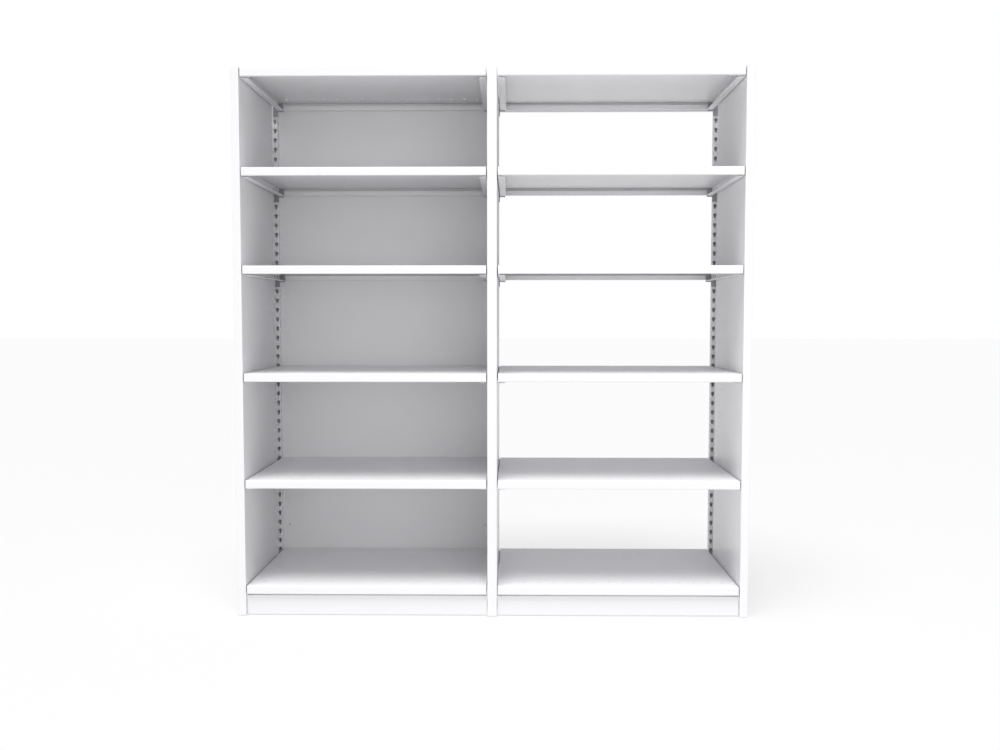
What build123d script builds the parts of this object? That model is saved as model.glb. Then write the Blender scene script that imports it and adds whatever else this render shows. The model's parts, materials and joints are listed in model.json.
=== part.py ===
"""Two-bay shelving unit: board panels, slotted steel posts, hooked brackets and lift-off steel shelves.

Millimetres, +Z up, +X to the right and +Y to the rear. The origin is on the floor, under the
middle of the unit.
"""

import os

from build123d import *

os.makedirs("parts", exist_ok=True)

# ---------------------------------------------------------------- overall sizes
bay_pitch = 900.0              # centre panel to the inner face of an end post, plus half a centre post
centre_thickness = 34.0        # centre panel and centre post
end_thickness = 28.5           # end panels and end posts
panel_depth = 481.0            # board panel, front edge to the post
post_depth = 119.0             # steel post behind each panel
upright_depth = 28.0           # slotted box at the rear of the post
rail_depth = 12.0              # tie rails behind the posts
back_sheet = 1.0               # back panel of the left bay
unit_height = 1939.0
glide_height = 3.0             # nylon glides hold the boards off the floor

slot_pitch = 38.1              # keyhole pitch up each post
base_top = 109.0               # top of the base shelf
steps_above_base = (48, 39, 30, 20, 10, 0)   # shelves 1 to 6, in keyhole pitches

# ---------------------------------------------------------------- places that follow
half_centre = centre_thickness / 2
inner_face = bay_pitch - half_centre - 0.5   # inner face of each end panel, from the middle
outer_face = inner_face + end_thickness
unit_depth = panel_depth + post_depth + back_sheet + rail_depth
front_y = -unit_depth / 2
joint_y = front_y + panel_depth              # rear of the panels, front of the posts
post_rear_y = joint_y + post_depth
upright_y = post_rear_y - upright_depth      # slotted wall, which faces the front
rail_y = post_rear_y + back_sheet
bay_width = inner_face - half_centre         # clear width between two panels
bay_middle = (inner_face + half_centre) / 2
top_of_shelf = [base_top + slot_pitch * step for step in steps_above_base]
shelf_numbers = range(1, len(top_of_shelf) + 1)
bays = {"left": -1, "right": 1}

# ---------------------------------------------------------------- clearances
pin_clearance = 0.1            # on the radius of a pin in its hole
tight_clearance = 0.05
bore_end_gap = 1.0             # blind bores run this much deeper than their pins
cutter_overrun = 1.0           # cutters start this far outside the face they cut

# ---------------------------------------------------------------- keyholes and hook studs
keyhole_radius = 6.5           # round upper part, where a stud head goes in
keyhole_neck_radius = 4.0      # narrow lower part, where the shank hangs
keyhole_drop = 8.5             # from the round part's centre to the neck's centre
keyhole_above_shelf = 3.0      # round part's centre above the shelf top
keyhole_inset = 8.5            # keyhole centre behind the panel's inner face, sideways
slots_per_post = steps_above_base[0] + 2
stud_shank_radius = 3.7
stud_head_radius = 6.0
stud_head_thickness = 2.0
stud_head_gap = 0.3            # from the stud head to the inside of the post wall
upper_stud = keyhole_above_shelf - keyhole_drop      # from the shelf top
stud_heights = (upper_stud, upper_stud - slot_pitch)

# ---------------------------------------------------------------- sheet parts
post_wall = 2.0
post_corner_radius = 1.5
foot_plate = 3.0
shelf_gap = 4.0                # from a panel to the end of a shelf
shelf_sheet = 1.2
shelf_depth = 598.0
shelf_front_height = 29.0
shelf_rear_height = 30.0
shelf_front_return = 15.0      # front channel: lower flange, then its turned-up edge
shelf_front_upturn = 12.0
shelf_rear_return = 13.0       # rear channel, the same
shelf_rear_upturn = 18.0
shelf_bend_radius = 2.2
shelf_hole_radius = 4.0
shelf_hole_pitch = 50.8
shelf_holes_per_row = 16
shelf_hole_rows = (62.0, 515.0)              # from the shelf's front edge
rear_channel_notch = 6.0       # rear channel stops short of the shelf's ends by this much
rear_notch_reach = 16.0        # from the shelf's rear, so that the whole channel is cut

bracket_sheet = 2.0
bracket_start = 17.5           # from the front of the unit
bracket_height = 34.0          # shelf top to the bottom of the bracket
bracket_flange = 25.0
bracket_lip = 18.0
bracket_corner_width = 9.0     # sloped front corners of lip and flange
bracket_corner_length = 14.0
bracket_bend_radius = 2.0
shelf_rest_gap = 0.2           # from the bracket lip to the shelf sheet
hook_plate_gap = 0.4           # from the upright to the hook plate, and from the panel to its leg
hook_plate_thickness = 3.0
hook_plate_y = upright_y - hook_plate_gap - hook_plate_thickness
hook_reach = 15.0              # hook plate, sideways from the panel's face towards the recess
hook_step = 1.0                # its raised part stops this far behind the panel's face
hook_plate_top = 0.6           # above the shelf top
hook_plate_bottom = 58.0       # below the shelf top
hook_tab_width = 25.0          # the plate's part behind the bracket, from the panel's face
hook_tab_top = 3.5             # below the shelf top, as the next three are
hook_tab_bottom = 38.5
hook_leg_top = 6.0
hook_leg_bottom = 30.0
hook_leg_length = 105.0        # leg that lies along the bracket
hook_leg_y = hook_plate_y - hook_leg_length
leg_outside = hook_plate_gap + hook_plate_thickness
leg_middle = (hook_leg_top + hook_leg_bottom) / 2
bracket_rivets = (12.0, 50.0, 93.0)          # from the leg's front edge
rivet_height = 18.0            # below the shelf top
rivet_shank_radius = 2.45
rivet_hole_radius = 2.5
rivet_recess = 0.2             # shank end, below the hook plate's post side
rivet_head_radius = 4.8
rivet_head_height = 2.2
rivet_head_round = 1.9

kick_recess = 12.0
kick_height = 70.5
kick_sheet = 1.2
kick_return = 12.0
kick_bend_radius = 2.0
kick_end_gap = 1.25
magnet_radius = 7.0
magnet_inset = 16.0            # magnet centre from the panel face

rail_height = 30.0
rail_sheet = 1.5
rail_bend_radius = 2.0
rail_end_gap = 4.0             # from the rail's end to the unit's side
bottom_rail_z = 30.0
top_rail_z = 1904.0
bolt_radius = 4.0
bolt_clearance = 0.25
centre_bolt_offset = 5.0       # rail bolts stand clear of the back panel's edges
end_bolt_offset = 3.0
rail_bolt_heights = (bottom_rail_z + rail_height / 2, top_rail_z + rail_height / 2)
centre_screw_offset = 8.5      # panel screws stand clear of the centre post's web


def section_plane(y):
    """Upright plane across the unit at y. Sketches read X, Z and extrude(-length) runs rearward."""
    return Plane.XZ.offset(-y)


def save(part, name):
    part.label = name
    export_step(part, f"parts/{name}.step")


# ================================================================ board panels
panel_screw_heights = (120.0, 690.0, 1260.0, 1830.0)
panel_screw_radius = 3.2
panel_screw_depth = 42.0
panel_front_ease = 1.2
panel_top_ease = 0.8
glide_radius = 11.0
glide_stem_radius = 4.0
glide_stem_height = 14.0
front_glide_y = front_y + 45.0
rear_glide_y = joint_y + 60.0


def panel_screw_x(middle_x):
    return centre_screw_offset if middle_x == 0 else middle_x


def board_panel(middle_x, thickness):
    """Upright board with eased front edges, glide bore below and screw pilots in its rear edge."""
    with BuildPart() as panel:
        with BuildSketch(Plane.XY.offset(glide_height)):
            with Locations((middle_x, front_y + panel_depth / 2)):
                Rectangle(thickness, panel_depth)
        extrude(amount=unit_height - glide_height)
        fillet(panel.edges().filter_by(Axis.Z).group_by(Axis.Y)[0], radius=panel_front_ease)
        top_face = panel.faces().sort_by(Axis.Z)[-1]
        fillet(top_face.edges().group_by(Axis.Y)[0], radius=panel_top_ease)
        with BuildSketch(Plane.XY.offset(glide_height)):
            with Locations((middle_x, front_glide_y)):
                Circle(glide_stem_radius + pin_clearance)
        extrude(amount=glide_stem_height + bore_end_gap, mode=Mode.SUBTRACT)
        with BuildSketch(section_plane(joint_y)):
            with Locations(*[(panel_screw_x(middle_x), z) for z in panel_screw_heights]):
                Circle(panel_screw_radius + tight_clearance)
        extrude(amount=panel_screw_depth + bore_end_gap, mode=Mode.SUBTRACT)
    return panel.part


# ================================================================ slotted posts
def keyhole_column(keyhole_x):
    """All keyholes above one another, as one solid that reaches through the slotted wall."""
    with BuildPart() as keyholes:
        with BuildSketch(section_plane(upright_y - cutter_overrun)):
            for index in range(slots_per_post):
                round_z = base_top + keyhole_above_shelf + slot_pitch * (index - 1)
                with Locations((keyhole_x, round_z)):
                    Circle(keyhole_radius)
                with Locations((keyhole_x, round_z - keyhole_drop)):
                    Circle(keyhole_neck_radius)
                with Locations((keyhole_x, round_z - keyhole_drop / 2)):
                    Rectangle(2 * keyhole_neck_radius, keyhole_drop)
        extrude(amount=-(post_wall + 2 * cutter_overrun))
    return keyholes.part


def rail_bolt_x(middle_x):
    """X of the rail bolts of the post at middle_x. The centre post's stand off its middle."""
    if middle_x == 0:
        return centre_bolt_offset
    return middle_x + (end_bolt_offset if middle_x > 0 else -end_bolt_offset)


def slotted_post(middle_x, thickness, web_x, keyhole_places):
    """Slotted box upright, with a web and a front wall that reach forward to the board."""
    upright_middle = (middle_x, upright_y + upright_depth / 2)
    with BuildPart() as post:
        with BuildSketch(Plane.XY.offset(glide_height)):
            with Locations((middle_x, joint_y + post_depth / 2)):
                Rectangle(thickness, post_depth)
        extrude(amount=foot_plate)
        with BuildSketch(Plane.XY.offset(glide_height)):
            with Locations(upright_middle):
                RectangleRounded(thickness, upright_depth, post_corner_radius)
            with Locations((web_x, (joint_y + upright_y + post_wall) / 2)):
                Rectangle(post_wall, upright_y + post_wall - joint_y)
            with Locations((middle_x, joint_y + post_wall / 2)):
                Rectangle(thickness, post_wall)
        extrude(amount=unit_height - glide_height)
        with BuildSketch(Plane.XY.offset(glide_height + foot_plate)):
            with Locations(upright_middle):
                Rectangle(thickness - 2 * post_wall, upright_depth - 2 * post_wall)
        extrude(amount=unit_height, mode=Mode.SUBTRACT)
        for keyhole_x in keyhole_places:
            add(keyhole_column(keyhole_x), mode=Mode.SUBTRACT)
        with BuildSketch(Plane.XY.offset(glide_height)):
            with Locations((middle_x, rear_glide_y)):
                Circle(glide_stem_radius + pin_clearance)
        extrude(amount=glide_stem_height + bore_end_gap, mode=Mode.SUBTRACT)
        with BuildSketch(section_plane(joint_y)):
            with Locations(*[(panel_screw_x(middle_x), z) for z in panel_screw_heights]):
                Circle(panel_screw_radius + pin_clearance)
        extrude(amount=-post_wall, mode=Mode.SUBTRACT)
        with BuildSketch(section_plane(post_rear_y)):
            with Locations(*[(rail_bolt_x(middle_x), z) for z in rail_bolt_heights]):
                Circle(bolt_radius + bolt_clearance)
        extrude(amount=post_wall, mode=Mode.SUBTRACT)
    return post.part


end_middle = (inner_face + outer_face) / 2
end_web_x = outer_face - post_wall / 2
end_keyhole_x = inner_face + keyhole_inset
centre_keyhole_x = half_centre - keyhole_inset
frames = {
    "left": (-end_middle, end_thickness, -end_web_x, [-end_keyhole_x]),
    "centre": (0.0, centre_thickness, 0.0, [-centre_keyhole_x, centre_keyhole_x]),
    "right": (end_middle, end_thickness, end_web_x, [end_keyhole_x]),
}
for frame_name, (middle_x, thickness, web_x, keyhole_places) in frames.items():
    save(board_panel(middle_x, thickness), f"{frame_name}_panel")
    save(slotted_post(middle_x, thickness, web_x, keyhole_places), f"{frame_name}_post")

# ================================================================ post caps
cap_thickness = 3.0
cap_gap = 0.2
cap_front_gap = 6.0            # stud heads pass in front of the cap
cap_depth = upright_depth - 2 * post_wall - cap_front_gap - cap_gap
cap_y = post_rear_y - post_wall - cap_gap - cap_depth / 2
with BuildPart() as post_caps:
    for middle_x, thickness, web_x, keyhole_places in frames.values():
        with BuildSketch(Plane.XY.offset(unit_height - cap_thickness)):
            with Locations((middle_x, cap_y)):
                Rectangle(thickness - 2 * post_wall - 2 * cap_gap, cap_depth)
        extrude(amount=cap_thickness)
save(post_caps.part, "post_caps")

# ================================================================ floor glides
glide_chamfer = 0.6
with BuildPart() as floor_glides:
    for middle_x, thickness, web_x, keyhole_places in frames.values():
        for glide_y in (front_glide_y, rear_glide_y):
            with BuildSketch():
                with Locations((middle_x, glide_y)):
                    Circle(glide_radius)
            extrude(amount=glide_height)
            with BuildSketch(Plane.XY.offset(glide_height)):
                with Locations((middle_x, glide_y)):
                    Circle(glide_stem_radius)
            extrude(amount=glide_stem_height)
    glide_soles = floor_glides.faces().filter_by(Axis.Z).group_by(Axis.Z)[0]
    chamfer(glide_soles.edges(), length=glide_chamfer)
save(floor_glides.part, "floor_glides")

# ================================================================ screws from post to panel
screw_head_radius = 6.0
screw_head_height = 3.5
screw_head_chamfer = 1.0
with BuildPart() as panel_screws:
    for middle_x, thickness, web_x, keyhole_places in frames.values():
        screw_places = [(panel_screw_x(middle_x), z) for z in panel_screw_heights]
        with BuildSketch(section_plane(joint_y + post_wall)):
            with Locations(*screw_places):
                Circle(panel_screw_radius)
        extrude(amount=panel_screw_depth + post_wall)
        with BuildSketch(section_plane(joint_y + post_wall)):
            with Locations(*screw_places):
                Circle(screw_head_radius)
        extrude(amount=-screw_head_height)
    screw_heads = panel_screws.faces().filter_by(Axis.Y).group_by(Axis.Y)[-1]
    chamfer(screw_heads.edges(), length=screw_head_chamfer)
save(panel_screws.part, "panel_screws")


# ================================================================ shelves
def shelf(middle_x, top_z):
    """Folded tray: box channel along the front and the rear, two rows of divider holes on top."""
    half_sheet = shelf_sheet / 2
    front = front_y + half_sheet
    rear = front_y + shelf_depth - half_sheet
    top = top_z - half_sheet
    front_low = top_z - shelf_front_height + half_sheet
    rear_low = top_z - shelf_rear_height + half_sheet
    width = bay_width - 2 * shelf_gap
    with BuildPart() as tray:
        with BuildSketch(Plane.YZ.offset(middle_x - width / 2)):
            with BuildLine():
                FilletPolyline(
                    (front + shelf_front_return, front_low + shelf_front_upturn),
                    (front + shelf_front_return, front_low),
                    (front, front_low),
                    (front, top),
                    (rear, top),
                    (rear, rear_low),
                    (rear - shelf_rear_return, rear_low),
                    (rear - shelf_rear_return, rear_low + shelf_rear_upturn),
                    radius=shelf_bend_radius,
                )
            trace(line_width=shelf_sheet)
        extrude(amount=width)
        with BuildSketch(Plane.XY.offset(top_z - shelf_rear_height - cutter_overrun)):
            for end_x in (middle_x - width / 2, middle_x + width / 2):
                with Locations((end_x, rear)):
                    Rectangle(2 * rear_channel_notch, 2 * rear_notch_reach)
        extrude(amount=shelf_rear_height + cutter_overrun - shelf_sheet, mode=Mode.SUBTRACT)
        with BuildSketch(Plane.XY.offset(top_z)):
            with Locations((middle_x, front_y + sum(shelf_hole_rows) / 2)):
                row_spacing = shelf_hole_rows[1] - shelf_hole_rows[0]
                with GridLocations(shelf_hole_pitch, row_spacing, shelf_holes_per_row, 2):
                    Circle(shelf_hole_radius)
        extrude(amount=-shelf_sheet, mode=Mode.SUBTRACT)
    return tray.part


# ================================================================ brackets
def bracket(face_x, inward, top_z):
    """Folded channel that carries one end of a shelf, with its open side to the bay."""
    half_sheet = bracket_sheet / 2
    web_x = hook_plate_gap + hook_plate_thickness + half_sheet
    length = hook_plate_y - (front_y + bracket_start)
    high = top_z - shelf_sheet - shelf_rest_gap - half_sheet
    low = top_z - bracket_height + half_sheet
    with BuildPart() as channel:
        with BuildSketch(section_plane(front_y + bracket_start)):
            with BuildLine():
                FilletPolyline(
                    (face_x + inward * (web_x + bracket_lip - half_sheet), high),
                    (face_x + inward * web_x, high),
                    (face_x + inward * web_x, low),
                    (face_x + inward * (web_x + bracket_flange - half_sheet), low),
                    radius=bracket_bend_radius,
                )
            trace(line_width=bracket_sheet)
        extrude(amount=-length)
        front_corners = channel.edges().filter_by(Axis.Z).group_by(Axis.Y)[0]
        lip_and_flange = front_corners.sort_by(Axis.X, reverse=inward > 0)[:2]
        chamfer(lip_and_flange, length=bracket_corner_width, length2=bracket_corner_length)
        with BuildSketch(Plane.YZ.offset(face_x)):
            with Locations(*[(hook_leg_y + y, top_z - rivet_height) for y in bracket_rivets]):
                Circle(rivet_hole_radius)
        extrude(amount=inward * (web_x + bracket_sheet), mode=Mode.SUBTRACT)
    return channel.part


def hook_plate(face_x, inward, top_z):
    """Dark plate across the bracket's rear end, in front of two keyholes, with a leg along the web."""
    with BuildPart() as plate:
        with BuildSketch(section_plane(hook_plate_y)):
            with BuildLine():
                Polyline(
                    (face_x - inward * hook_reach, top_z + hook_plate_top),
                    (face_x - inward * hook_step, top_z + hook_plate_top),
                    (face_x - inward * hook_step, top_z - hook_tab_top),
                    (face_x + inward * hook_tab_width, top_z - hook_tab_top),
                    (face_x + inward * hook_tab_width, top_z - hook_tab_bottom),
                    (face_x + inward * leg_outside, top_z - hook_tab_bottom),
                    (face_x + inward * leg_outside, top_z - hook_plate_bottom),
                    (face_x - inward * hook_reach, top_z - hook_plate_bottom),
                    close=True,
                )
            make_face()
            with Locations(*[(face_x - inward * keyhole_inset, top_z + z) for z in stud_heights]):
                Circle(stud_shank_radius + tight_clearance, mode=Mode.SUBTRACT)
        extrude(amount=-hook_plate_thickness)
        with BuildSketch(Plane.YZ.offset(face_x + inward * hook_plate_gap)):
            with Locations((hook_leg_y + hook_leg_length / 2, top_z - leg_middle)):
                Rectangle(hook_leg_length, hook_leg_bottom - hook_leg_top)
            with Locations(*[(hook_leg_y + y, top_z - rivet_height) for y in bracket_rivets]):
                Circle(rivet_hole_radius, mode=Mode.SUBTRACT)
        extrude(amount=inward * hook_plate_thickness)
    return plate.part


def hook_stud(stud_x, stud_z):
    """Mushroom stud pressed into the hook plate, its head behind the slotted wall."""
    head_y = upright_y + post_wall + stud_head_gap
    with BuildPart() as stud:
        with BuildSketch(section_plane(hook_plate_y)):
            with Locations((stud_x, stud_z)):
                Circle(stud_shank_radius)
        extrude(amount=-(head_y - hook_plate_y))
        with BuildSketch(section_plane(head_y)):
            with Locations((stud_x, stud_z)):
                Circle(stud_head_radius)
        extrude(amount=-stud_head_thickness)
    return stud.part


def bracket_rivet(face_x, inward, rivet_y, rivet_z):
    """Round-head rivet through the leg and the bracket's web, flush on the panel's side."""
    shank_start = hook_plate_gap + rivet_recess
    web_end = hook_plate_gap + hook_plate_thickness + bracket_sheet
    with BuildPart() as rivet:
        with BuildSketch(Plane.YZ.offset(face_x + inward * shank_start)):
            with Locations((rivet_y, rivet_z)):
                Circle(rivet_shank_radius)
        extrude(amount=inward * (web_end - shank_start))
        with BuildSketch(Plane.YZ.offset(face_x + inward * web_end)):
            with Locations((rivet_y, rivet_z)):
                Circle(rivet_head_radius)
        extrude(amount=inward * rivet_head_height)
        head_rim = rivet.edges().filter_by(GeomType.CIRCLE).sort_by(Axis.X, reverse=inward > 0)[0]
        fillet(head_rim, radius=rivet_head_round)
    return rivet.part


for bay_name, side in bays.items():
    faces = [(side * half_centre, side), (side * inner_face, -side)]
    for number, top_z in zip(shelf_numbers, top_of_shelf):
        save(shelf(side * bay_middle, top_z), f"{bay_name}_shelf_{number}")
        channels = [bracket(face_x, inward, top_z) for face_x, inward in faces]
        save(Compound(children=channels), f"{bay_name}_brackets_{number}")
        hooks = []
        for face_x, inward in faces:
            hooks.append(hook_plate(face_x, inward, top_z))
            stud_x = face_x - inward * keyhole_inset
            hooks += [hook_stud(stud_x, top_z + z) for z in stud_heights]
            for rivet_y in bracket_rivets:
                rivet_z = top_z - rivet_height
                hooks.append(bracket_rivet(face_x, inward, hook_leg_y + rivet_y, rivet_z))
        save(Compound(children=hooks), f"{bay_name}_hook_plates_{number}")

# ================================================================ kick panels
kick_angle_leg = 32.0
kick_angle_sheet = 1.5
kick_angle_height = 28.0
magnet_length = 11.0
magnet_air_gap = 0.2
kick_front_y = front_y + kick_recess
magnet_z = glide_height + kick_height / 2
kick_angle_y = kick_front_y + kick_sheet + magnet_length + magnet_air_gap
for bay_name, side in bays.items():
    kick_start = side * bay_middle - bay_width / 2 + kick_end_gap
    kick_width = bay_width - 2 * kick_end_gap
    low = glide_height + kick_sheet / 2
    high = glide_height + kick_height - kick_sheet / 2
    face = kick_front_y + kick_sheet / 2
    with BuildPart() as kick_panel:
        with BuildSketch(Plane.YZ.offset(kick_start)):
            with BuildLine():
                FilletPolyline(
                    (face + kick_return, low),
                    (face, low),
                    (face, high),
                    (face + kick_return, high),
                    radius=kick_bend_radius,
                )
            trace(line_width=kick_sheet)
        extrude(amount=kick_width)
    save(kick_panel.part, f"{bay_name}_kick_panel")

    with BuildPart() as kick_magnets:
        with BuildSketch(section_plane(kick_front_y + kick_sheet)):
            with Locations(
                (kick_start - kick_end_gap + magnet_inset, magnet_z),
                (kick_start + kick_end_gap + kick_width - magnet_inset, magnet_z),
            ):
                Circle(magnet_radius)
        extrude(amount=-magnet_length)
    save(kick_magnets.part, f"{bay_name}_kick_magnets")

with BuildPart() as kick_angles:
    for side in bays.values():
        for face_x, inward in [(side * half_centre, side), (side * inner_face, -side)]:
            with BuildSketch(Plane.XY.offset(magnet_z - kick_angle_height / 2)):
                with BuildLine():
                    Polyline(
                        (face_x, kick_angle_y),
                        (face_x + inward * kick_angle_leg, kick_angle_y),
                        (face_x + inward * kick_angle_leg, kick_angle_y + kick_angle_sheet),
                        (face_x + inward * kick_angle_sheet, kick_angle_y + kick_angle_sheet),
                        (face_x + inward * kick_angle_sheet, kick_angle_y + kick_angle_leg),
                        (face_x, kick_angle_y + kick_angle_leg),
                        close=True,
                    )
                make_face()
            extrude(amount=kick_angle_height)
save(kick_angles.part, "kick_angles")

# ================================================================ back panel of the left bay
back_overlap = 8.0
back_bottom = 20.0
back_top = unit_height - 2.0
stiffener_width = 26.0
stiffener_inset = 26.0         # stiffener centre from the post face
stiffener_end_gap = 4.0        # from each tie rail
back_screw_heights = (207.0, 1664.0)
back_screw_radius = 2.0
back_screw_length = 8.0
back_screw_head_radius = 4.0
back_screw_head_height = 1.6
back_screw_head_chamfer = 0.9
back_left = -inner_face - back_overlap
back_right = -half_centre + back_overlap
stiffener_places = (-inner_face + stiffener_inset, -half_centre - stiffener_inset)
back_screw_places = [(x, z) for x in stiffener_places for z in back_screw_heights]
with BuildPart() as back_panel:
    with BuildSketch(section_plane(post_rear_y)):
        with Locations(((back_left + back_right) / 2, (back_bottom + back_top) / 2)):
            Rectangle(back_right - back_left, back_top - back_bottom)
        with Locations(*back_screw_places):
            Circle(back_screw_radius + pin_clearance, mode=Mode.SUBTRACT)
    extrude(amount=-back_sheet)
save(back_panel.part, "left_back_panel")

stiffener_bottom = bottom_rail_z + rail_height + stiffener_end_gap
stiffener_height = top_rail_z - stiffener_end_gap - stiffener_bottom
with BuildPart() as back_stiffeners:
    for stiffener_x in stiffener_places:
        left = stiffener_x - stiffener_width / 2 + rail_sheet / 2
        right = stiffener_x + stiffener_width / 2 - rail_sheet / 2
        near = rail_y + rail_sheet / 2
        far = rail_y + rail_depth
        with BuildSketch(Plane.XY.offset(stiffener_bottom)):
            with BuildLine():
                FilletPolyline(
                    (left, far),
                    (left, near),
                    (right, near),
                    (right, far),
                    radius=rail_bend_radius,
                )
            trace(line_width=rail_sheet)
        extrude(amount=stiffener_height)
    with BuildSketch(section_plane(rail_y)):
        with Locations(*back_screw_places):
            Circle(back_screw_radius + pin_clearance)
    extrude(amount=-rail_sheet, mode=Mode.SUBTRACT)
save(back_stiffeners.part, "back_stiffeners")

with BuildPart() as back_panel_screws:
    with BuildSketch(section_plane(post_rear_y)):
        with Locations(*back_screw_places):
            Circle(back_screw_radius)
    extrude(amount=-back_screw_length)
    with BuildSketch(section_plane(post_rear_y)):
        with Locations(*back_screw_places):
            Circle(back_screw_head_radius)
    extrude(amount=back_screw_head_height)
    screw_heads = back_panel_screws.faces().filter_by(Axis.Y).group_by(Axis.Y)[0]
    chamfer(screw_heads.edges(), length=back_screw_head_chamfer)
save(back_panel_screws.part, "back_panel_screws")

# ================================================================ tie rails and their fixings
rail_bolt_places = [rail_bolt_x(middle_x) for middle_x, *others in frames.values()]
rail_length = 2 * (outer_face - rail_end_gap)
for rail_name, rail_z in (("bottom", bottom_rail_z), ("top", top_rail_z)):
    low = rail_z + rail_sheet / 2
    high = rail_z + rail_height - rail_sheet / 2
    near = rail_y + rail_sheet / 2
    far = rail_y + rail_depth
    with BuildPart() as tie_rail:
        with BuildSketch(Plane.YZ.offset(-rail_length / 2)):
            with BuildLine():
                FilletPolyline(
                    (far, low),
                    (near, low),
                    (near, high),
                    (far, high),
                    radius=rail_bend_radius,
                )
            trace(line_width=rail_sheet)
        extrude(amount=rail_length)
        with BuildSketch(section_plane(rail_y)):
            with Locations(*[(x, rail_z + rail_height / 2) for x in rail_bolt_places]):
                Circle(bolt_radius + bolt_clearance)
        extrude(amount=-rail_sheet, mode=Mode.SUBTRACT)
    save(tie_rail.part, f"{rail_name}_tie_rail")

bolt_spots = [(x, z) for x in rail_bolt_places for z in rail_bolt_heights]
bolt_head_radius = 7.0
bolt_head_height = 4.2
bolt_head_round = 2.4
bolt_socket_radius = 2.5       # hexagon socket, centre to corner
bolt_socket_depth = 2.2
bolt_length = 13.0
washer_radius = 8.0
nut_width = 13.0
nut_thickness = 6.5
with BuildPart() as rail_bolts:
    with BuildSketch(section_plane(rail_y + rail_sheet)):
        with Locations(*bolt_spots):
            Circle(bolt_head_radius)
    extrude(amount=-bolt_head_height)
    bolt_heads = rail_bolts.faces().filter_by(Axis.Y).group_by(Axis.Y)[-1]
    fillet(bolt_heads.edges(), radius=bolt_head_round)
    with BuildSketch(section_plane(rail_y + rail_sheet + bolt_head_height)):
        with Locations(*bolt_spots):
            RegularPolygon(radius=bolt_socket_radius, side_count=6)
    extrude(amount=bolt_socket_depth, mode=Mode.SUBTRACT)
    with BuildSketch(section_plane(rail_y + rail_sheet)):
        with Locations(*bolt_spots):
            Circle(bolt_radius)
    extrude(amount=bolt_length)
save(rail_bolts.part, "rail_bolts")

with BuildPart() as rail_washers:
    with BuildSketch(section_plane(post_rear_y)):
        with Locations(*bolt_spots):
            Circle(washer_radius)
            Circle(bolt_radius + bolt_clearance, mode=Mode.SUBTRACT)
    extrude(amount=-back_sheet)
save(rail_washers.part, "rail_washers")

with BuildPart() as rail_nuts:
    with BuildSketch(section_plane(post_rear_y - post_wall)):
        with Locations(*bolt_spots):
            RegularPolygon(radius=nut_width / 2, side_count=6, major_radius=False)
            Circle(bolt_radius + tight_clearance, mode=Mode.SUBTRACT)
    extrude(amount=nut_thickness)
save(rail_nuts.part, "rail_nuts")

print("shelf tops", [round(top_z, 1) for top_z in top_of_shelf])
print("unit", round(2 * outer_face, 1), round(unit_depth, 1), unit_height)
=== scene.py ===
# %% [markdown]
# # A white shelving unit, finished for its picture
# The shelving unit arrives as a finished engineering model: boards, slotted posts, folded
# shelves, brackets and fixings, each where it belongs. This lesson gives every piece its
# finish, and models again the few pieces whose fine shape matters up close: the boards with
# their edge bands, the bolts and screws, the post caps and the floor glides.
# Everything is in metres. The unit stands on the floor at z = 0, +X is to the right seen from
# the front, and +Y runs to the rear.

# %% Load the frame
import json
import math

import bmesh
import bpy
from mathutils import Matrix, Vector


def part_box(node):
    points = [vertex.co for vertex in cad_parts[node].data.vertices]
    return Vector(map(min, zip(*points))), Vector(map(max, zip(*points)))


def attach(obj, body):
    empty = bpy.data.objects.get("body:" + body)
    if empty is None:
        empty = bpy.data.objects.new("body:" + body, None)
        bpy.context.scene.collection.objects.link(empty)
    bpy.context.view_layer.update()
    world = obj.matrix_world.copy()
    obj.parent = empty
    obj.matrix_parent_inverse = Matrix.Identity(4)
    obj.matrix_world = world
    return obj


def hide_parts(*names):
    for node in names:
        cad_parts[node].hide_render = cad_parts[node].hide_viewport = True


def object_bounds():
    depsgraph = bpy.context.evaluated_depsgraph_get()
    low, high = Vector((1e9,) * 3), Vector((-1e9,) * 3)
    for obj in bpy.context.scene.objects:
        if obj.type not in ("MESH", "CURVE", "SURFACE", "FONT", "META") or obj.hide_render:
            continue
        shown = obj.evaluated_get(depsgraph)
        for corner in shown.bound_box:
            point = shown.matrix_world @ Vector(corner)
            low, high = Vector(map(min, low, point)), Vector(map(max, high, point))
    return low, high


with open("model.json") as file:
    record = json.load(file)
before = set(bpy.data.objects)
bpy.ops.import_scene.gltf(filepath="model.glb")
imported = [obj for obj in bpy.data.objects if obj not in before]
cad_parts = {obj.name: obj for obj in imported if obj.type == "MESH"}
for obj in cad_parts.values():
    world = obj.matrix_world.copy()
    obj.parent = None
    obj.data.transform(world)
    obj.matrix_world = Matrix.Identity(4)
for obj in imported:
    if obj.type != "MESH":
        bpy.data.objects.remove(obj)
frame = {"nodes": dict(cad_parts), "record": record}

cad_low, cad_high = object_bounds()
nodes = frame["nodes"]
body_of_node = {}
for body, members in frame["record"]["behaviour"]["bodies"].items():
    for member in members:
        body_of_node[member] = body
print("size in metres:", [round(side, 4) for side in cad_high - cad_low])

# %% [markdown]
# ## A few helpers
# Operators act on whatever is selected, and a freshly loaded model is selected all over. So
# each step starts clean. A finished piece keeps its object at the origin and its place in its
# mesh, so that patterns made from object coordinates run on from one piece to the next.

# %% Start clean, and keep the place in the mesh
MM = 0.001


def start_clean():
    """Let go of everything, so that the next operator touches only its own piece."""
    if bpy.context.object and bpy.context.object.mode != "OBJECT":
        bpy.ops.object.mode_set(mode="OBJECT")
    bpy.ops.object.select_all(action="DESELECT")


def take_up(piece):
    """Make a piece the only selected one, and the active one."""
    start_clean()
    bpy.context.view_layer.objects.active = piece
    piece.select_set(True)


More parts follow.
